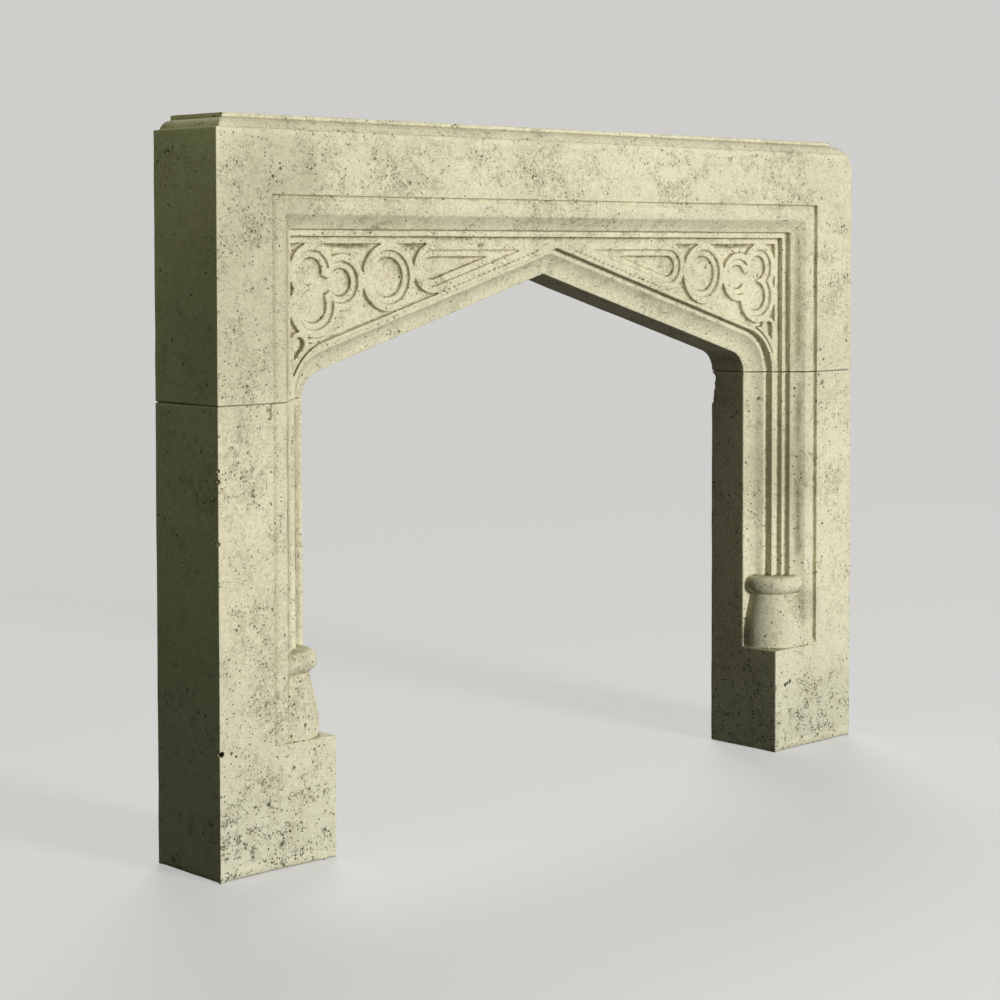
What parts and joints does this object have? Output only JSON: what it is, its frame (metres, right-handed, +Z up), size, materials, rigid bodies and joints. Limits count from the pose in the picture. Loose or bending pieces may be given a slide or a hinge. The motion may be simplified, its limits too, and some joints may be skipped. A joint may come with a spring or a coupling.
{
  "type": "fireplace mantel",
  "caption": "Carved limestone fireplace surround: moulded jambs with pot-shaped stops carry a lintel with a low pointed arch, traceried spandrels and a small cap moulding.",
  "frame": {"origin": "on the floor under the middle of the mantel, halfway between front and back faces", "axes": "+X across the front to the viewer's right, +Y from the front to the back, +Z up"},
  "size_m": [1.732, 0.185, 1.323],
  "materials": {
    "limestone": "matte, worn",
    "mortar": "matte",
    "dowel_steel": "plain drawn",
    "shim": "matte"
  },
  "bodies": {
    "root": {"lintel": "limestone", "left_jamb": "limestone", "right_jamb": "limestone", "left_bed_mortar": "mortar", "left_outer_dowel": "dowel_steel", "left_inner_dowel": "dowel_steel", "left_setting_shims": "shim", "right_bed_mortar": "mortar", "right_outer_dowel": "dowel_steel", "right_inner_dowel": "dowel_steel", "right_setting_shims": "shim"}
  },
  "joints": []
}
